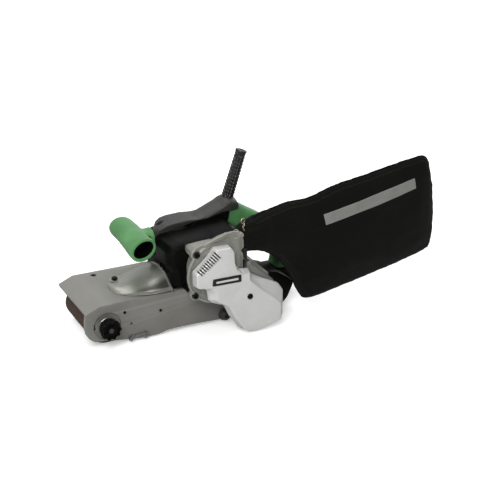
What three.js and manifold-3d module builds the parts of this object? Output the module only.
// Handheld belt sander, 100 mm belt, side toothed-belt drive, cloth dust bag.
// Millimetres. -X is the front (tracking knob), +X the rear (grip and bag),
// -Y the drive side, +Y the open belt-change side, +Z up.
// Origin: centre of the sanding face, on the work plane.
import * as THREE from 'three';
import { mergeVertices } from 'three/addons/utils/BufferGeometryUtils.js';
import createManifold from 'manifold-3d';

const wasm = await createManifold();
wasm.setup();

// ------------------------------------------------------------ dimensions
const GAP = 0.3;                    // usual clearance between neighbouring parts
const BELT_WIDTH = 100;
const BELT_INNER_R = 25;
const BELT_OUTER_R = 26;
const ROLLER_R = 24.7;
const AXLE_X = 113.25;              // half of the roller spacing
const AXLE_Z = BELT_OUTER_R;        // puts the underside of the belt at z = 0
const WALL_Y = -64;                 // outer face of the drive-side wall
const WALL_INNER = WALL_Y + 6;
const DECK_Z = 66;                  // top face of the deck plate
const DECK_UNDER = DECK_Z - 5;
const DECK_FAR = 55;                // the deck's +Y edge
const MOTOR_X = 42;
const MOTOR_Z = 99;
const FAN_OUTER = -100;             // -Y and +Y faces of the fan housing
const FAN_INNER = -66.2;
const COVER_OUTER = -118;           // -Y and +Y faces of the pulley cover
const COVER_INNER = -100.3;
const OUTLET_Y = -82;
const OUTLET_Z = 137;
const OUTLET_R = 16;
const TOOTH_PITCH = 3;
const MOTOR_TEETH = 11;
const DRIVEN_TEETH = 33;
const PULLEY_SPAN = [-113.4, -102.6];   // both pulleys, along Y
const GRIP_X = -53;                 // axis of the front cross grip
const GRIP_Z = 136;

// Centres of features along Y, [x, z]
const DRIVE = [AXLE_X, AXLE_Z];
const IDLER = [-AXLE_X, AXLE_Z];
const MOTOR = [MOTOR_X, MOTOR_Z];
const VOLUTE = [MOTOR_X - 1, MOTOR_Z - 1];
const KNOB = [-115, 33];
const LATCH = [-58, 8.2];
const CLAMP = [69, 13];
const WALL_SCREW = [-88, 49];
const UPPER_LUG = [10, 134];
const LOWER_LUG = [7, 71];
const COVER_SCREW = [86, 61];
// Centres of features along X, [y, z]
const BRUSH = [27, MOTOR_Z];
const OUTLET = [OUTLET_Y, OUTLET_Z];
// Centres of features along Z, [x, y]
const HUMP_SCREW = [-78, 0.5];
const DECK_SCREW = [-96, 42];
const YOKE_PIVOT = [-71, 0];

// Finishes: colour, roughness, metalness (0 where left out)
const FINISH = {
  cast: [0x80807c, 0.45, 0.6],
  fanCast: [0x777970, 0.45, 0.6],
  hump: [0xb9b3a8, 0.3, 0.8],
  lightMetal: [0xd0d0ce, 0.3, 0.7],
  chute: [0x9a9a94, 0.4, 0.6],
  steel: [0xa8a8aa, 0.3, 0.9],
  pulley: [0xa8a8aa, 0.4, 0.8],
  bearing: [0xb0b0b0, 0.25, 0.9],
  spring: [0x88898a, 0.3, 0.9],
  clip: [0xb0b0a8, 0.35, 0.8],
  idlerRoller: [0x9a9c9e, 0.35, 0.8],
  yoke: [0x6d6f70, 0.5, 0.6],
  carriage: [0x777a7c, 0.5, 0.6],
  latch: [0x9a9a95, 0.4, 0.7],
  topScrew: [0x3a3a3a, 0.4, 0.8],
  wallScrew: [0x4a4a48, 0.4, 0.8],
  sideScrew: [0x2e2f30, 0.4, 0.8],
  clampBolt: [0x2b2c2c, 0.5, 0.5],
  stator: [0x6c5b4a, 0.6, 0.4],
  armature: [0x5a4c40, 0.6, 0.4],
  copper: [0xb07040, 0.35, 0.9],
  carbon: [0x303030, 0.9],
  abrasive: [0x5a3d33, 0.9],
  pad: [0x8a6a44, 0.95],
  driveRoller: [0x2a2a2a, 0.85],
  toothedBelt: [0x1a1a1a, 0.8],
  shell: [0x1c1d1e, 0.5],
  core: [0x1c1d1e, 0.6],
  guard: [0x1c1d1e, 0.7],
  topCover: [0x4a4b4c, 0.5],
  greenGrip: [0x5f9a6a, 0.65],
  fan: [0x3a3a3c, 0.6],
  knob: [0x202122, 0.45],
  brushCap: [0x111111, 0.5],
  label: [0x151515, 0.35],
  cord: [0x141414, 0.7],
  switchBody: [0x2a2a2a, 0.6],
  button: [0x161616, 0.5],
  selector: [0x202020, 0.5],
  collar: [0x1a1a1a, 0.6],
  cloth: [0x151513, 0.95],
};

// ------------------------------------------------------------ solids
function solid(geometry) {
  const bare = new THREE.BufferGeometry()
    .setAttribute('position', geometry.attributes.position)
    .setIndex(geometry.index);
  const merged = mergeVertices(bare, 1e-4);
  const index = merged.index.array;
  const triangles = [];
  for (let i = 0; i < index.length; i += 3) {
    const [first, second, third] = index.slice(i, i + 3);
    if (first !== second && second !== third && first !== third) {
      triangles.push(first, second, third);
    }
  }
  return new wasm.Manifold(new wasm.Mesh({
    numProp: 3,
    vertProperties: new Float32Array(merged.attributes.position.array),
    triVerts: new Uint32Array(triangles),
  }));
}
const union = (...shapes) => shapes.reduce((sum, shape) => sum.add(shape));
const cut = (body, ...tools) => tools.reduce((rest, tool) => rest.subtract(tool), body);

function box(xMin, xMax, yMin, yMax, zMin, zMax) {
  return solid(new THREE.BoxGeometry(xMax - xMin, yMax - yMin, zMax - zMin)
    .translate((xMin + xMax) / 2, (yMin + yMax) / 2, (zMin + zMax) / 2));
}
// rods along one axis; the centre gives the other two coordinates in x, y, z order
const rod = (radius, from, to, sides) =>
  new THREE.CylinderGeometry(radius, radius, to - from, sides);
const rodX = (radius, from, to, [y, z], sides = 20) =>
  solid(rod(radius, from, to, sides).rotateZ(Math.PI / 2).translate((from + to) / 2, y, z));
const rodY = (radius, from, to, [x, z], sides = 24) =>
  solid(rod(radius, from, to, sides).translate(x, (from + to) / 2, z));
const rodZ = (radius, from, to, [x, y], sides = 20) =>
  solid(rod(radius, from, to, sides).rotateX(Math.PI / 2).translate(x, y, (from + to) / 2));
const tubeY = (outerR, innerR, from, to, at, sides) =>
  cut(rodY(outerR, from, to, at, sides), rodY(innerR, from - 1, to + 1, at, sides));
// socket screw; head, shank and socket are [radius, from, to] along the rod's axis
const screw = (axisRod, at, headSides, head, shank, socket) => cut(
  union(axisRod(...head, at, headSides), axisRod(...shank, at, 8)), axisRod(...socket, at, 6));

// closed loft through rings of equal length; rings are arrays of [x, y, z]
function loft(rings) {
  const count = rings[0].length;
  const triangles = [];
  for (let i = 0; i < rings.length - 1; i++) {
    for (let j = 0; j < count; j++) {
      const here = i * count + j;
      const next = i * count + (j + 1) % count;
      triangles.push(here, next, next + count, here, next + count, here + count);
    }
  }
  const cap = (ringIndex, flip) => {
    const ring = rings[ringIndex];
    const origin = new THREE.Vector3(...ring[0]);
    const normal = new THREE.Vector3();            // Newell's method
    ring.forEach(([x, y, z], j) => {
      const [nextX, nextY, nextZ] = ring[(j + 1) % count];
      normal.x += (y - nextY) * (z + nextZ);
      normal.y += (z - nextZ) * (x + nextX);
      normal.z += (x - nextX) * (y + nextY);
    });
    normal.normalize();
    const right = Math.abs(normal.x) < 0.9
      ? new THREE.Vector3(1, 0, 0) : new THREE.Vector3(0, 1, 0);
    right.addScaledVector(normal, -right.dot(normal)).normalize();
    const up = normal.clone().cross(right);
    const flat = ring.map(point => {
      const offset = new THREE.Vector3(...point).sub(origin);
      return new THREE.Vector2(offset.dot(right), offset.dot(up));
    });
    for (const face of THREE.ShapeUtils.triangulateShape(flat, [])) {
      const [first, second, third] = face.map(i => i + ringIndex * count);
      triangles.push(first, ...(flip ? [third, second] : [second, third]));
    }
  };
  cap(0, true);
  cap(rings.length - 1, false);
  const geometry = new THREE.BufferGeometry();
  geometry.setAttribute('position', new THREE.Float32BufferAttribute(rings.flat(2), 3));
  geometry.setIndex(triangles);
  const shape = solid(geometry);
  if (shape.volume() >= 0) return shape;
  // the rings ran the other way round: turn every face over
  for (let i = 0; i < triangles.length; i += 3) {
    [triangles[i + 1], triangles[i + 2]] = [triangles[i + 2], triangles[i + 1]];
  }
  geometry.setIndex(triangles);
  return solid(geometry);
}

function signedArea(outline) {
  return outline.reduce((sum, [x, z], i) => {
    const [nextX, nextZ] = outline[(i + 1) % outline.length];
    return sum + x * nextZ - nextX * z;
  }, 0) / 2;
}
// outline offset: a positive distance shrinks, a negative one grows
function inset(outline, distance) {
  const turn = Math.sign(signedArea(outline));
  const count = outline.length;
  const edgeNormal = (start, end) => {
    const edge = new THREE.Vector2(end[0] - start[0], end[1] - start[1]).normalize();
    return new THREE.Vector2(-edge.y, edge.x);
  };
  return outline.map((point, i) => {
    const before = edgeNormal(outline[(i + count - 1) % count], point);
    const after = edgeNormal(point, outline[(i + 1) % count]);
    const mitre = before.clone().add(after).normalize();
    const reach = distance * turn / Math.max(0.35, mitre.dot(before));  // limits sharp corners
    return [point[0] + mitre.x * reach, point[1] + mitre.y * reach];
  });
}
const atY = (outline, y) => outline.map(([x, z]) => [x, y, z]);
// [x, z] outline pushed along Y through [y, inset] steps
const prismY = (outline, steps) =>
  loft(steps.map(([y, distance]) => atY(inset(outline, distance), y)));
const plate = (outline, from, to) => prismY(outline, [[from, 0], [to, 0]]);
const clearance = (outline, from, to, gap = GAP) => plate(inset(outline, -gap), from, to);

const lathe = (profile, sides) =>
  new THREE.LatheGeometry(profile.map(([radius, y]) => new THREE.Vector2(radius, y)), sides);
const turned = (profile, [x, z], sides) => solid(lathe(profile, sides).translate(x, 0, z));

function arc([x, z], radius, start, sweep, steps) {
  const points = [];
  for (let i = 0; i <= steps; i++) {
    const angle = start + sweep * i / steps;
    points.push([x + radius * Math.cos(angle), z + radius * Math.sin(angle)]);
  }
  return points;
}
const signedPower = (value, power) => Math.sign(value) * Math.abs(value) ** power;
// rounded section swept along an [x, z] path; half sizes are one number or one per point
function sweepXZ(path, halfInPlane, halfAcross, y, sides, power) {
  const sizeAt = (size, i) => Array.isArray(size) ? size[i] : size;
  return loft(path.map(([x, z], i) => {
    const before = path[Math.max(0, i - 1)];
    const after = path[Math.min(path.length - 1, i + 1)];
    const tangent = new THREE.Vector2(after[0] - before[0], after[1] - before[1]).normalize();
    return Array.from({ length: sides }, (_, j) => {
      const angle = 2 * Math.PI * (j + 0.5) / sides;
      const out = signedPower(Math.cos(angle), power) * sizeAt(halfInPlane, i);
      const across = signedPower(Math.sin(angle), power) * sizeAt(halfAcross, i);
      return [x - tangent.y * out, y + across, z + tangent.x * out];
    });
  }));
}
// elliptical bar along Y; stations are [y, half length, half thickness, tilt]
function ellipseBar(stations, [x, z], sides) {
  return loft(stations.map(([y, long, thick, tilt]) =>
    Array.from({ length: sides }, (_, j) => {
      const angle = 2 * Math.PI * j / sides;
      const major = long * Math.cos(angle);
      const minor = thick * Math.sin(angle);
      return [
        x + major * Math.cos(tilt) - minor * Math.sin(tilt),
        y,
        z + major * Math.sin(tilt) + minor * Math.cos(tilt),
      ];
    })));
}

const group = new THREE.Group();
function add(name, shape, [color, roughness, metalness = 0]) {
  // keep the main solid and drop slivers left by a cut
  const parts = shape.decompose().sort((one, other) => other.volume() - one.volume());
  if (parts.slice(1).some(part => part.volume() > 0.05)) {
    throw new Error(name + ' is in several pieces');
  }
  const raw = parts[0].getMesh();
  const geometry = new THREE.BufferGeometry();
  const positions = new Float32Array(raw.vertProperties);
  geometry.setAttribute('position', new THREE.BufferAttribute(positions, 3));
  geometry.setIndex(new THREE.BufferAttribute(new Uint32Array(raw.triVerts), 1));
  const material = new THREE.MeshStandardMaterial({
    color, roughness, metalness, flatShading: true,
  });
  const mesh = new THREE.Mesh(geometry, material);
  mesh.name = name;
  group.add(mesh);
}

// ------------------------------------------------------------ base frame
// outlines are [x, z]
const WALL_OUTLINE = [
  [-147, 56.4], [-148.4, 45], [-148.7, 34.5], [-146.8, 24], [-143.5, 18.6], [-139.6, 15],
  [-135, 11.8], [-95.5, 6.6], [-66.6, 3.1], [-53.6, 2.3], [-34.6, 3.2], [-22.8, 6.3],
  [10, 7.4], [42, 6.1], [63, 5.1], [105, 5.4], [126, 9], [138, 18], [143, 32], [143, 63],
  [143, DECK_Z], [-124.8, DECK_Z],
];
const DECK_OUTLINE = [
  [-147, 56.4], [-124.8, DECK_Z], [143, DECK_Z], [143, DECK_UNDER],
  [-123.6, DECK_UNDER], [-145.4, 51.8],
];
function baseFrame() {
  const body = union(
    plate(WALL_OUTLINE, WALL_Y, WALL_INNER),
    plate(DECK_OUTLINE, WALL_Y, DECK_FAR),
    box(-74, 74, WALL_INNER - 1, 48, 4.2, 12),          // bed web that carries the platen
    box(-69, -14, -30, -24, 11, 34),                    // guide rails of the idler carriage
    box(-69, -14, 10, 16, 11, 34),
    box(12, 16, -30, 16, 11, 40),                       // spring stop
    box(16, 70, -10, -5, 11, 34),                       // stiffening rib
    rodY(17, WALL_INNER - 1, -51.6, DRIVE),             // near bearing boss
    box(58, AXLE_X, 51.6, 56, 13, 39),                  // far bearing arm
    rodY(13, 51.6, 56, DRIVE),
    box(58, 74, 46, 56, 4.2, 13.5),
    rodY(9, WALL_Y - 0.8, WALL_Y + 1, KNOB),            // ring boss behind the tracking knob
  );
  return cut(body,
    tubeY(21, 9, WALL_Y - 2, WALL_Y + 2.8, KNOB, 24),   // round recess
    rodY(5.3, -80, -50, KNOB, 20),
    box(-135.5, -132.2, WALL_Y - 1, WALL_INNER + 1, 28.5, 37.5),  // slot ahead of the knob
    rodY(7, -80, -50, DRIVE),                           // near bearing seat
    rodY(13.3, WALL_Y + 1, -51, DRIVE),
    rodY(7, 50, 60, DRIVE),                             // far bearing seat
    rodY(11.3, 52.6, 60, DRIVE, 28),
    box(18, 66, -49, 39, 55, DECK_Z + 1),               // opening under the motor barrel
    rodY(2.4, -70, -60.5, WALL_SCREW, 12),              // blind holes in the wall
    rodY(2.2, -70, -60.5, [-32.5, 40.5], 12),
    rodY(2.0, -70, -60.5, [-78.4, 29.3], 12),
    rodZ(2.6, 58, 68, DECK_SCREW, 14),
    rodZ(4.6, DECK_Z - 3.4, DECK_Z + 1, DECK_SCREW),
    rodZ(2.6, 58, 68, HUMP_SCREW, 14),
    rodY(3.3, -70, -57, LATCH, 14),
    rodY(4.4, -70, -57, CLAMP, 12),
  );
}
add('base_frame', baseFrame(), FINISH.cast);

// light cast hump that shrouds the front of the motor
// section: fraction of the width, fraction of the height
const HUMP_SECTION = [
  [0, 0], [0, 0.1], [0.045, 0.13], [0.1, 0.42], [0.2, 0.78], [0.34, 0.95], [0.5, 1],
  [0.64, 0.94], [0.78, 0.76], [0.9, 0.42], [0.96, 0.13], [1, 0.1], [1, 0],
];
// x, y low, y high, top z
const HUMP_STATIONS = [
  [-91.4, -24, -6, 68.2], [-88.5, -34, 4, 71.2], [-82, -43, 11, 72.6], [-72, -51, 17, 74.2],
  [-58, -58, 24, 77.2], [-42, -62, 31, 80.4], [-26, -63.6, 38, 83.4], [-11.4, -64, 43, 86.2],
];
const HUMP_HOLLOW = [[-70, -50, 17, 74.2], ...HUMP_STATIONS.slice(4, 7), [-10, -64, 43, 86.4]];
const humpLoft = (stations, wall, bottom) => loft(stations.map(([x, yLow, yHigh, zTop]) =>
  HUMP_SECTION.map(([across, height]) => {
    const start = yLow + wall;
    const end = yHigh - wall;
    return [x, start + across * (end - start), bottom + height * (zTop - wall * 0.9 - bottom)];
  })));
function humpCover() {
  const screwHole = rodZ(2.4, 60, 80, HUMP_SCREW, 14);
  const shell = cut(humpLoft(HUMP_STATIONS, 0, DECK_Z + GAP),
    humpLoft(HUMP_HOLLOW, 2.8, DECK_Z - 3),
    screwHole,
    rodZ(5.6, 73, 80, HUMP_SCREW));
  const boss = rodZ(8.5, DECK_Z + 0.5, 72.6, HUMP_SCREW, 24);
  return union(shell, cut(boss, screwHole));
}
add('hump_cover', humpCover(), FINISH.hump);
add('hump_screw', screw(rodZ, HUMP_SCREW, 12, [4.3, 73, 76.2], [2.1, 59, 74], [2.1, 74.4, 77]),
  FINISH.topScrew);
add('deck_screw', screw(rodZ, DECK_SCREW, 12,
  [3.9, 62.8, DECK_Z], [2.1, 58, 63.8], [2.1, 64.2, 66.8]), FINISH.topScrew);
add('wall_screw', screw(rodY, WALL_SCREW, 12,
  [3.6, -66.6, -64.3], [2, -65, -61.2], [1.8, -67, -65.4]), FINISH.wallScrew);
add('bed_clamp_bolt', union(
  rodY(9.5, -66.2, -64.3, CLAMP, 18),                   // washer, hexagon, shank
  rodY(7.4, -72.5, -66, CLAMP, 6),
  rodY(4, -66, -58.2, CLAMP, 10)), FINISH.clampBolt);

// ------------------------------------------------------------ belt, platen, rollers
const beltLoop = radius => [
  ...arc(IDLER, radius, Math.PI / 2, Math.PI, 18),
  ...arc(DRIVE, radius, -Math.PI / 2, Math.PI, 18),
];
add('sanding_belt', cut(
  plate(beltLoop(BELT_OUTER_R), -BELT_WIDTH / 2, BELT_WIDTH / 2),
  plate(beltLoop(BELT_INNER_R), -BELT_WIDTH / 2 - 1, BELT_WIDTH / 2 + 1)), FINISH.abrasive);
add('platen_plate', box(-75, 75, -50, 48, 1.3, 2), FINISH.steel);
add('platen_pad', box(-74, 74, -49.5, 47.5, 2.3, 3.9), FINISH.pad);

// fork that holds the idler shaft, with a tongue to the carriage
function idlerYoke() {
  const arm = (from, to) => union(
    box(-AXLE_X, -78, from, to, 16, 36), rodY(11.5, from, to, IDLER, 18));
  const body = union(
    box(-86, -78, -56.3, 56.3, 15, 37),
    arm(-56.3, -52),
    arm(52, 56.3),
    box(-79, -66, -9, 9, 19, 33));
  return cut(body, rodY(5.25, -60, 60, IDLER, 16), rodZ(3.35, 10, 40, YOKE_PIVOT, 14));
}
add('idler_yoke', idlerYoke(), FINISH.yoke);

const SPRING = { from: -29, length: 40.2, y: -7, z: 25, radius: 7.4, turns: 7, wireR: 0.8 };
add('idler_carriage', union(
  box(-62, -30, -23.6, 9.6, 12.4, 37),
  box(-76.6, -60, -8.5, 8.5, 12.4, 18.6),               // lips below and above the tongue
  box(-76.6, -60, -8.5, 8.5, 33.4, 39.6),
  rodZ(3, 18, 34, YOKE_PIVOT, 14),
  rodX(4.5, -31, -22, [SPRING.y, SPRING.z], 10)), FINISH.carriage);
add('idler_shaft', rodY(4.9, -56.2, 56.2, IDLER, 16), FINISH.steel);
// crowned roller; lathe profiles are [radius, y]
add('idler_roller', turned([
  [5.4, -49.6], [23.6, -49.6], [23.85, -49.2], [ROLLER_R, 0], [23.85, 49.2], [23.6, 49.6],
  [5.4, 49.6], [5.4, -49.6]], IDLER, 32), FINISH.idlerRoller);

// compression spring between carriage and stop, axis along X
class Helix extends THREE.Curve {
  getPoint(t) {
    const angle = t * 2 * Math.PI * SPRING.turns;
    return new THREE.Vector3(
      SPRING.from + SPRING.length * t,
      SPRING.y + SPRING.radius * Math.cos(angle),
      SPRING.z + SPRING.radius * Math.sin(angle));
  }
}
function tensionSpring() {
  const corners = Array.from({ length: 5 }, (_, i) => {
    const angle = i * Math.PI / 2.5;
    return new THREE.Vector2(SPRING.wireR * Math.cos(angle), SPRING.wireR * Math.sin(angle));
  });
  return solid(new THREE.ExtrudeGeometry(new THREE.Shape(corners), {
    steps: 56, extrudePath: new Helix(), bevelEnabled: false,
  }));
}
add('tension_spring', tensionSpring(), FINISH.spring);

const LEVER_OUTLINE = [
  [-80.5, 5.6], [-82, 9], [-80, 13.4], [-75, 14], [-58, 12.6], [-56, 4.4], [-75, 4.6],
];
add('latch_lever', cut(
  union(
    rodY(5.2, -68.4, -64.3, LATCH, 20),
    prismY(LEVER_OUTLINE, [[-67.6, 0.6], [-67, 0], [-64.3, 0]]),
    rodY(2.9, -65, -57.4, LATCH, 16)),
  rodY(1.6, -69, -66.8, LATCH, 6)), FINISH.latch);

function trackingKnob() {
  const rim = Array.from({ length: 40 }, (_, i) => {
    const angle = 2 * Math.PI * i / 40;
    const radius = 16.3 + (i % 4 < 2 ? 1.1 : -0.9);     // two points out, two in
    return [KNOB[0] + radius * Math.cos(angle), KNOB[1] + radius * Math.sin(angle)];
  });
  const body = union(prismY(rim, [[-82, 1.6], [-80, 0], [-65.4, 0]]),
    rodY(4.9, -66, -57.4, KNOB, 20));
  const faceGroove = cut(rodY(12.4, -83, -80.6, KNOB, 16), rodY(6.4, -84, -80, KNOB, 12));
  return cut(body, faceGroove, rodY(2.1, -83, -79.5, KNOB, 6));
}
add('tracking_knob', trackingKnob(), FINISH.knob);
add('drive_roller', turned([
  [6.4, -49.6], [24, -49.6], [ROLLER_R, -48.6], [ROLLER_R, 48.6], [24, 49.6], [6.4, 49.6],
  [6.4, -49.6]], DRIVE, 32), FINISH.driveRoller);
add('drive_shaft', turned([
  [0, -113.6], [4.5, -113.6], [5, -113], [5, -98], [6, -98], [6, 51.2], [5, 51.2],
  [5, 56.4], [0, 56.4]], DRIVE, 24), FINISH.steel);
add('drive_bearing_near', tubeY(13, 6.3, -62.6, -52.2, DRIVE, 28), FINISH.bearing);
add('drive_bearing_far', tubeY(11, 5.3, 52.9, 56.2, DRIVE, 28), FINISH.bearing);

// hollow shell behind the drive roller, carries the lower end of the rear grip
const REAR_OUTLINE = [
  [143.3, 65.6], [158, 63], [174, 53], [188, 41.5], [185, 33], [178, 18], [171, 10],
  [152, 8.5], [146, 12], [143.3, 22],
];
const REAR_HOLLOW = [
  [140, 60], [156, 58.6], [172, 49], [182.5, 40.5], [180, 33], [174, 21], [169, 13.6],
  [153, 12.1], [149, 15], [140, 24],
];
const GRIP_FOOT = [
  [150, 12], [160, 9.5], [190, 12.5], [203.5, 20], [207.5, 32], [207, 44.4], [170, 44.4],
  [150, 40],
];
add('rear_base', cut(
  union(
    plate(REAR_OUTLINE, -62, DECK_FAR),
    prismY(GRIP_FOOT, [[-21, 2], [-19, 0], [19, 0], [21, 2]])),
  plate(REAR_HOLLOW, -58.5, 51.5)), FINISH.core);

// ------------------------------------------------------------ motor
const HOUSING_OUTLINE = [
  [-11, 66.3], [-11, 93], [-17, 104], [-18, 124], [-13.5, 136], [0, 139.6], [60, 144],
  [88, 148], [100, 141], [101, 110], [101, 90], [98, 66.3],
];
// the shoulder beside the top cover falls away towards the fan side
const housingRing = (y, distance) => inset(HOUSING_OUTLINE, distance).map(([x, z]) => {
  const slope = 0.26 * Math.min(1, Math.max(0, x / 60)) * Math.max(0, (z - 100) / 45);
  return [x, y, z - slope * Math.max(0, -20 - y)];
});
function motorHousing() {
  // y, inset
  const steps = [[-65.7, 9], [-58, 2.5], [-50, 0], [-20, 0], [36, 0], [44, 5]];
  const outer = union(loft(steps.map(([y, distance]) => housingRing(y, distance))),
    rodY(36.6, -48, 38, MOTOR, 28));
  const shell = cut(outer,
    rodY(34.4, -56, 46, MOTOR, 28),
    loft([-53, -20, 46].map(y => housingRing(y, 4))));
  const fitted = union(shell,
    tubeY(37, 34.3, -20, -12, MOTOR, 28),
    rodX(7.6, -9, 12, BRUSH, 16),                       // brush tubes, front and rear
    rodX(7.6, 72, 99, BRUSH, 16));
  return cut(fitted,
    rodY(8, -70, -50, MOTOR),
    rodY(12.3, -66.5, -57, MOTOR, 28),                  // near bearing seat
    rodX(5.4, -30, 120, BRUSH, 12),                     // brush bores and cap seats
    rodX(8.2, -30, -8.6, BRUSH, 16),
    rodX(8.2, 98, 120, BRUSH, 16),
    box(98.4, 110, -9.4, 9.4, 117.6, 128.4),            // speed selector recess
    rodY(2.4, -70, -52, UPPER_LUG, 12),
    rodY(2.4, -70, -52, LOWER_LUG, 12));
}
add('motor_housing', motorHousing(), FINISH.shell);

function motorEndCover() {
  let cover = cut(prismY(HOUSING_OUTLINE, [[44.3, 5.3], [52, 7], [58, 14]]),
    rodY(30, 44, 49, MOTOR, 32), rodY(10.3, 40, 54, MOTOR));
  for (let i = 0; i < 5; i++) {                         // slots across the end face
    const z = 112 + 4.6 * i;
    cover = cut(cover, box(MOTOR_X - 20, MOTOR_X + 20, 45, 60, z, z + 2));
  }
  return cover;
}
add('motor_end_cover', motorEndCover(), FINISH.shell);
add('stator_core', cut(rodY(34, -44, 14, MOTOR, 28), rodY(24, -45, 15, MOTOR)), FINISH.stator);
add('armature_core', tubeY(23.2, 5.3, -42, 12, MOTOR, 24), FINISH.armature);
add('commutator', tubeY(13, 5.3, 17, 37, MOTOR, 28), FINISH.copper);
add('motor_shaft', turned([
  [0, -114], [2.7, -114], [2.7, -101], [5, -101], [5, 52], [0, 52]], MOTOR, 24), FINISH.steel);
add('motor_bearing_near', tubeY(12, 5.3, -65.9, -59.5, MOTOR, 28), FINISH.bearing);
add('motor_bearing_far', tubeY(10, 5.3, 46.3, 53.2, MOTOR, 28), FINISH.bearing);

const brush = (from, to) => box(from, to, 23.4, 30.6, MOTOR_Z - 3, MOTOR_Z + 3);
add('brush_front', brush(MOTOR_X - 30, MOTOR_X - 13.6), FINISH.carbon);
add('brush_rear', brush(MOTOR_X + 13.6, MOTOR_X + 30), FINISH.carbon);
// head, stem and screwdriver slot are [from, to] along X
const brushCap = (head, stem, slot) => cut(
  union(rodX(7.8, ...head, BRUSH, 16), rodX(4.8, ...stem, BRUSH, 12)),
  box(...slot, 26, 28, MOTOR_Z - 6, MOTOR_Z + 6));
add('brush_cap_front', brushCap([-13.6, -8.9], [-13.6, 11.6], [-14, -12.2]), FINISH.brushCap);
add('brush_cap_rear', brushCap([98.3, 101.6], [72.4, 101.6], [100.6, 102]), FINISH.brushCap);

// ------------------------------------------------------------ fan, its housing and the outlet
const DUCT_OUTLINE = [
  [18, 136], [26, 146.5], [63, 160.5], [80, 164], [93, 158], [96, 152], [96, 118],
  [88, 111], [56, 104],
];
// duct from the volute to the outlet; its top edge drops towards the motor side
function duct(wall, bevel, from, to) {
  const steps = [[from, bevel], [from + 2, 0], [to - 2, 0], [to, bevel]];
  return loft(steps.map(([y, edge]) => inset(DUCT_OUTLINE, wall + edge).map(([x, z]) =>
    [x, y, z - 0.34 * (y + 99) * Math.min(1, Math.max(0, (z - 118) / 30))])));
}
function fanHousing() {
  const outer = union(
    rodY(48, FAN_OUTER, FAN_INNER, VOLUTE, 36),
    duct(0, 2, -99, -67),
    rodX(OUTLET_R, 90, 118, OUTLET),
    rodY(8.6, FAN_OUTER, FAN_INNER, UPPER_LUG, 16),
    rodY(8.2, FAN_OUTER, FAN_INNER, LOWER_LUG, 16));
  return cut(outer,
    rodY(43.5, -96.6, -69.8, VOLUTE, 28),
    duct(3, 0, -96, -70),
    rodX(13.5, 60, 120, OUTLET, 16),
    rodY(9, -101, -95, MOTOR),                          // shaft openings
    rodY(14, -71, -66, MOTOR),
    rodY(2.4, -101, -66, UPPER_LUG, 12),
    rodY(2.4, -101, -66, LOWER_LUG, 12));
}
add('fan_housing', fanHousing(), FINISH.fanCast);
for (const [place, at] of [['upper', UPPER_LUG], ['lower', LOWER_LUG]]) {
  add('fan_screw_' + place, screw(rodY, at, 14,
    [4.2, -103.3, -100.3], [2.1, -101.3, -54], [2.2, -104.3, -101.5]), FINISH.sideScrew);
}
function dustFan() {
  const blades = 7;
  let fan = union(rodY(39, -75, -73, MOTOR, 28), rodY(10, -93, -74, MOTOR, 20));
  for (let i = 0; i < blades; i++) {
    fan = fan.add(solid(new THREE.BoxGeometry(30, 17, 1.6)
      .translate(22.6, -82.5, 0)
      .rotateY(i * 2 * Math.PI / blades)
      .translate(MOTOR_X, 0, MOTOR_Z)));
  }
  return cut(fan, rodY(5.3, -100, -70, MOTOR, 20));
}
add('dust_fan', dustFan(), FINISH.fan);

// ------------------------------------------------------------ side drive
const CASE_OUTLINE = [
  [70, 46], [80, 27], [90, 9], [98, 6.5], [112, 6.8], [140, 16], [141, 52], [128, 57],
  [108, 64], [90, 62],
];
add('drive_case', union(
  cut(plate(CASE_OUTLINE, -99.9, -64.3),
    plate(inset(CASE_OUTLINE, 3), -101, -68),
    rodY(7.2, -101, -60, DRIVE)),
  tubeY(11, 7.2, -99.5, -67, DRIVE, 24)), FINISH.cast);

// toothed-belt cover: outline of its -Y face and the larger one towards the body
const COVER_FACE = [
  [34.5, 142], [54.5, 141], [59, 134], [61, 118], [65, 107], [73, 101.5], [84.6, 103.5],
  [85, 87], [104, 69.5], [126, 51.5], [138, 39], [138, 12.5], [111, 5], [97, 3],
  [84, 4.2], [76.5, 9.5], [62, 31], [52, 51.5], [32, 56.5], [37, 61.5], [38.2, 70.5],
  [33, 78.5], [25, 83.5], [6, 88], [2.5, 91], [2, 111.5],
];
const COVER_BASE = [
  [32, 145], [56, 144], [61.5, 136], [63.5, 120], [67, 110], [73.5, 105], [87, 106.5],
  [94, 92], [112, 80], [139, 66], [147, 54], [147, 13], [113, 2.6], [97, 1.4],
  [82, 2.4], [74, 7.5], [58.5, 30], [50, 48.5], [28, 54], [34, 60], [35, 69.5],
  [30.5, 76.2], [23.4, 80.6], [3, 85.4], [-1, 89], [-1.4, 112.6],
];
const coverBlend = share => COVER_FACE.map(([x, z], i) =>
  [x + (COVER_BASE[i][0] - x) * share, z + (COVER_BASE[i][1] - z) * share]);
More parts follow.
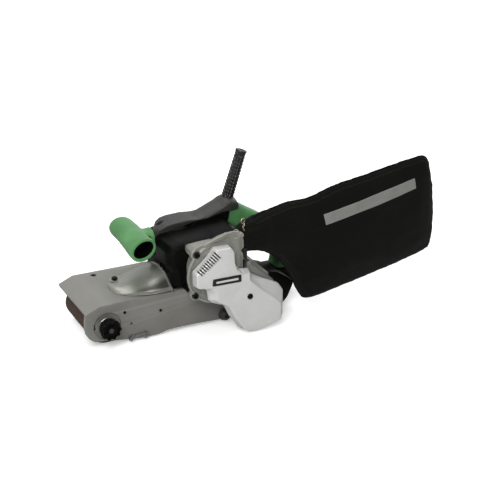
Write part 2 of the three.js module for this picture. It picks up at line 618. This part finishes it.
function pulleyCover() {
  const outer = loft([
    atY(inset(COVER_FACE, 1.6), COVER_OUTER),
    atY(inset(COVER_FACE, 0.3), COVER_OUTER + 1),
    atY(coverBlend(0.12), COVER_OUTER + 3),
    atY(COVER_BASE, COVER_INNER - 3.5),
    atY(COVER_BASE, COVER_INNER)]);
  const hollow = loft([
    atY(inset(COVER_FACE, 3.2), COVER_OUTER + 2.6),
    atY(inset(coverBlend(0.2), 2.8), COVER_OUTER + 5),
    atY(inset(COVER_BASE, 2.8), COVER_INNER - 3),
    atY(inset(COVER_BASE, 2.8), COVER_INNER + 1)]);
  const screwBoss = rodY(6, COVER_OUTER + 1, COVER_INNER - 0.2, COVER_SCREW, 20);
  let cover = cut(union(cut(outer, hollow), screwBoss),
    rodY(4.6, COVER_OUTER - 1, COVER_OUTER + 1.6, COVER_SCREW, 20),
    rodY(2.4, COVER_OUTER - 1, COVER_INNER + 1, COVER_SCREW, 12));
  // cooling slots along the slanted upper-front edge
  const slots = 10;
  for (let i = 0; i < slots; i++) {
    const share = (i + 0.5) / slots;
    cover = cover.subtract(solid(
      new THREE.BoxGeometry(1.9, 14, 9.5 - 3.4 * Math.abs(share - 0.45))
        .rotateY(-0.75)
        .translate(8.5 + 26.5 * share, COVER_OUTER + 3, 108.5 + 25.5 * share)));
  }
  return cover;
}
add('pulley_cover', pulleyCover(), FINISH.lightMetal);
add('cover_screw', screw(rodY, COVER_SCREW, 14,
  [4.2, -119.4, -116.8], [2.1, -117, -100.7], [2.2, -120, -117.8]), FINISH.sideScrew);
add('label_plate', prismY([[26, 89], [27, 99.6], [71.5, 99], [71.5, 88]],
  [[-119.2, 0.5], [-118.8, 0], [-118.3, 0]]), FINISH.label);

const pitchRadius = teeth => teeth * TOOTH_PITCH / (2 * Math.PI);
function pulley([x, z], teeth, bore) {
  const tipR = pitchRadius(teeth) - 0.35;
  const outline = [];
  for (let i = 0; i < teeth; i++) {
    // share of the pitch, radius: tooth start, tooth end, root
    for (const [share, radius] of [[0, tipR], [0.45, tipR], [0.72, tipR - 1.1]]) {
      const angle = 2 * Math.PI * (i + share) / teeth;
      outline.push([x + radius * Math.cos(angle), z + radius * Math.sin(angle)]);
    }
  }
  const [from, to] = PULLEY_SPAN;
  return cut(plate(outline, from, to), rodY(bore, from - 1, to + 1, [x, z], 20));
}
add('motor_pulley', pulley(MOTOR, MOTOR_TEETH, 3), FINISH.pulley);
add('driven_pulley', pulley(DRIVE, DRIVEN_TEETH, 5.3), FINISH.pulley);

function toothedBelt() {
  const smallR = pitchRadius(MOTOR_TEETH);
  const largeR = pitchRadius(DRIVEN_TEETH);
  const runX = AXLE_X - MOTOR_X;
  const runZ = AXLE_Z - MOTOR_Z;
  const heading = Math.atan2(runZ, runX);
  const smallWrap = Math.acos((largeR - smallR) / Math.hypot(runX, runZ));  // half angles
  const largeWrap = Math.PI - smallWrap;
  const loop = offset => [
    ...arc(MOTOR, smallR + offset, heading + Math.PI - smallWrap, 2 * smallWrap, 14),
    ...arc(DRIVE, largeR + offset, heading - largeWrap, 2 * largeWrap, 26),
  ];
  return cut(plate(loop(1.5), -112.6, -103.4), plate(loop(0.05), -114, -102));
}
add('toothed_belt', toothedBelt(), FINISH.toothedBelt);

// dust chute: slanted duct from the rear of the frame up to the fan
const CHUTE_OUTLINE = [
  [92, 104.5], [98, 106], [134, 70.5], [141, 60.4], [128, 60.6], [109, 67.6], [92, 66],
];
const CHUTE_HOLLOW = [
  [94.5, 101], [97, 102], [131, 68.6], [137, 60], [137, 55], [128, 55], [109.5, 70.6],
  [94.5, 69],
];
add('dust_chute', cut(
  prismY(CHUTE_OUTLINE, [[-97.6, 3], [-94, 0], [-68, 0], [-66.3, 1.2]]),
  plate(CHUTE_HOLLOW, -94, -71)), FINISH.chute);

// ------------------------------------------------------------ top cover, cord
const TOP_OUTLINE = [
  [-19.6, 133], [-18.8, 138], [-12.5, 146], [-3, 150.6], [11, 153], [34, 153.4],
  [50, 152.2], [62, 156], [75, 161.8], [89, 167], [97, 172.2], [104, 174.6],
  [116.4, 171], [119.8, 165], [114, 155.5], [103, 147.6], [97.6, 143.2], [88.1, 148.45],
  [60, 144.4], [0, 140], [-13.8, 136.6], [-15, 133],
];
// plan of what is cut off each front corner, [x, distance from the centre plane]
const TOP_CORNER = [
  [-26, 7], [-19.6, 9], [-17.5, 13], [-13, 16.6], [-6, 19.2], [-6, 30], [-26, 30],
];
const CORD_LEAN = Math.atan2(19.9, 64.6);
// turned about the cord axis, which leans to the rear; profile is [radius, height]
const onCord = (profile, sides) => solid(
  lathe(profile, sides).rotateX(Math.PI / 2).rotateY(CORD_LEAN).translate(109, 0, 173.4));
function topCover() {
  let cover = prismY(TOP_OUTLINE, [[-19, 1.5], [-16.5, 0], [16.5, 0], [19, 1.5]]);
  for (const side of [1, -1]) {
    cover = cut(cover, loft([120, 170].map(z => TOP_CORNER.map(([x, y]) => [x, side * y, z]))));
  }
  return cut(cover, onCord([[0, -30], [4.2, -30], [4.2, 40], [0, 40]], 14));
}
add('top_cover', topCover(), FINISH.topCover);
const aroundTop = clearance(TOP_OUTLINE, -20, 20);
add('cord_guard', cut(
  onCord([
    [0, 0], [9.6, 0], [9.6, 4], [8.2, 8], [7.7, 38], [7.2, 63.5], [8.4, 66.5], [8.6, 69],
    [7.8, 70.5], [0, 70.5]], 18),
  onCord([[0, -5], [4.1, -5], [4.1, 80], [0, 80]], 12),
  aroundTop), FINISH.guard);
add('power_cord', onCord([[0, -13], [3.7, -13], [3.7, 68.5], [0, 68.5]], 10), FINISH.cord);

// ------------------------------------------------------------ front cross grip
const NECK_Y = -3.5;
const CORE_NECK = [[-58, 136.2], [-46, 135], [-34, 131.6], [-18.6, 129]];   // x, z
const GRIP_NECK = [[-56, 136], [-44, 134.6], [-33, 131.4], [-22.5, 130]];
const GRIP_TILT = 0.45;
// y, half length, half thickness, tilt
const GRIP_STATIONS = [
  [-52, 19, 15.2, GRIP_TILT], [-50.5, 19.8, 16, GRIP_TILT], [-36, 19.2, 16, 0.42],
  [-18, 18, 16.2, 0.3], [10, 17, 16, 0.1], [38, 16.2, 15.8, 0], [46, 14.4, 14, 0],
  [50, 10, 10, 0], [51.4, 5, 5, 0],
];
const GRIP_BORE = [
  [-60, 15.5, 9.8, GRIP_TILT], [-44, 14.2, 9.4, GRIP_TILT], [-35, 12, 9, GRIP_TILT],
];
const frontCore = grow => union(
  rodY(12.2 + grow, -36 - grow, 42 + grow, [GRIP_X, GRIP_Z], 18),
  sweepXZ(CORE_NECK, 8.2 + grow, 10 + grow, NECK_Y, 12, 0.8));
add('front_handle_core', cut(frontCore(0), aroundTop, clearance(HOUSING_OUTLINE, -66, 45)),
  FINISH.core);
add('front_grip', cut(
  union(
    ellipseBar(GRIP_STATIONS, [GRIP_X, GRIP_Z], 20),
    sweepXZ(GRIP_NECK, [15, 14, 13.2, 14.6], [21, 16.4, 14.4, 15.6], NECK_Y, 16, 0.75)),
  frontCore(GAP),
  ellipseBar(GRIP_BORE, [GRIP_X + 0.5, GRIP_Z + 0.5], 18),
  clearance(HOUSING_OUTLINE, -70, 60),
  clearance(TOP_OUTLINE, -19.4, 19.4)), FINISH.greenGrip);

// ------------------------------------------------------------ rear D grip and switch
const GRIP_SLOPE = 29 * Math.PI / 180;      // the upper bar falls to the rear
// [x, z] of a point at a distance along the upper bar and above its axis
const barPoint = (along, above) => [
  118 + along * Math.cos(GRIP_SLOPE) + above * Math.sin(GRIP_SLOPE),
  141 - along * Math.sin(GRIP_SLOPE) + above * Math.cos(GRIP_SLOPE),
];
const barBox = (start, end, low, high, halfY) => plate(
  [barPoint(start, low), barPoint(end, low), barPoint(end, high), barPoint(start, high)],
  -halfY, halfY);
const GRIP_PATH = [
  barPoint(-24, 0), barPoint(-3.8, 0), barPoint(14, 0), barPoint(30, 0), barPoint(42, -1),
  [168, 108], [179, 92], [186, 74], [189, 58], [189.4, 44.7],
];
// half sizes of the soft grip at each path point but the first
const GRIP_HALF_DEPTH = [19, 18, 17.4, 17, 17, 16.6, 16.6, 17, 17.6];
const GRIP_HALF_WIDTH = [18.4, 18, 18, 18, 18, 17.6, 17.4, 17.4, 18];
const LOCK = barPoint(20, 4);
const rearCore = half => sweepXZ(GRIP_PATH, half, half, 0, 12, 0.6);
const aroundRearBase = clearance(REAR_OUTLINE, -63, 56);
add('rear_handle_core', cut(rearCore(12),
  box(60, 101.3, -30, 30, 60, 200),                     // stops behind the motor housing
  aroundRearBase,
  aroundTop,
  barBox(9.5, 40.5, -5, 8.6, 9.3),                      // switch pocket
  barBox(11.7, 38.3, -40, -4, 8.3),                     // trigger opening
  rodY(5.3, -30, -5, LOCK, 20),
  rodX(3.6, 96, 116, [0, 146], 12)), FINISH.core);      // wire run
add('rear_grip', cut(
  sweepXZ(GRIP_PATH.slice(1), GRIP_HALF_DEPTH, GRIP_HALF_WIDTH, 0, 16, 0.72),
  rearCore(12.35),
  barBox(11.2, 38.8, -40, -4, 8.8),
  rodY(5.8, -30, -5, LOCK, 20),
  clearance(TOP_OUTLINE, -20, 20, 0.4),
  aroundRearBase), FINISH.greenGrip);
add('switch_body', barBox(10, 40, -4.4, 8.2, 8.9), FINISH.switchBody);
const TRIGGER_OUTLINE = [           // along the bar, above its axis
  [12.1, -12], [12.1, -22], [17, -26.5], [30, -25.5], [37.9, -21], [37.9, -12],
].map(point => barPoint(...point));
add('trigger', prismY(TRIGGER_OUTLINE, [[-8, 1.2], [-6.8, 0], [6.8, 0], [8, 1.2]]),
  FINISH.button);
add('lock_button', rodY(5, -20.8, -12.2, LOCK, 20), FINISH.button);
add('speed_selector', union(
  box(98.8, 102, -6.4, 6.4, 118, 128),
  box(101, 105, -2.6, 2.6, 119.4, 126.6)), FINISH.selector);

// ------------------------------------------------------------ dust bag
add('bag_collar', cut(
  rodX(18.4, 97, 109, OUTLET, 28), rodX(OUTLET_R + GAP, 90, 120, OUTLET, 28)), FINISH.collar);
// x, low z, high z, half thickness
const BAG_STATIONS = [
  [96.5, 116.8, 157.2, 20.2], [102, 116.6, 157.4, 20.4], [106, 113, 168, 22],
  [114, 108, 174.5, 24], [133, 99, 178.5, 27], [153, 91, 181.5, 28.5], [169, 73, 182, 29],
  [180, 49, 182, 30], [188, 28, 182.5, 30], [203, 20, 184, 30], [244, 27, 196, 31],
  [312, 40, 206.5, 30], [373, 53, 216, 26], [399, 60, 217.5, 20], [408, 62.5, 194, 15],
  [414, 66, 168, 11], [420, 76, 130, 5],
];
const BAG_HOLLOW = [
  [90, 116.8, 157.2, 20.2], ...BAG_STATIONS.slice(0, -2), [408, 72, 190, 13],
];
const bagLoft = (stations, wall) => loft(stations.map(([x, low, high, halfY]) => {
  const [powerY, powerZ] = x < 104 ? [1, 1] : [1.25, 0.8];   // the neck is a plain ellipse
  return Array.from({ length: 18 }, (_, j) => {
    const angle = 2 * Math.PI * j / 18;
    return [
      x,
      OUTLET_Y + signedPower(Math.cos(angle), powerY) * (halfY - wall),
      (low + high) / 2 + signedPower(Math.sin(angle), powerZ) * ((high - low) / 2 - wall),
    ];
  });
}));
add('dust_bag', cut(bagLoft(BAG_STATIONS, 0), bagLoft(BAG_HOLLOW, 1)), FINISH.cloth);

// wire ring round the bag neck with a small eye on top
const wireRing = (radius, sides, turn, y, z) => solid(
  new THREE.TorusGeometry(radius, 0.9, 5, sides).rotateY(turn).translate(98.6, y, z));
add('bag_clip', union(
  wireRing(21.8, 20, Math.PI / 2, OUTLET_Y, OUTLET_Z),
  wireRing(4.6, 10, Math.PI / 2 + 0.4, OUTLET_Y - 4, OUTLET_Z + 25.8)), FINISH.clip);

export default group;
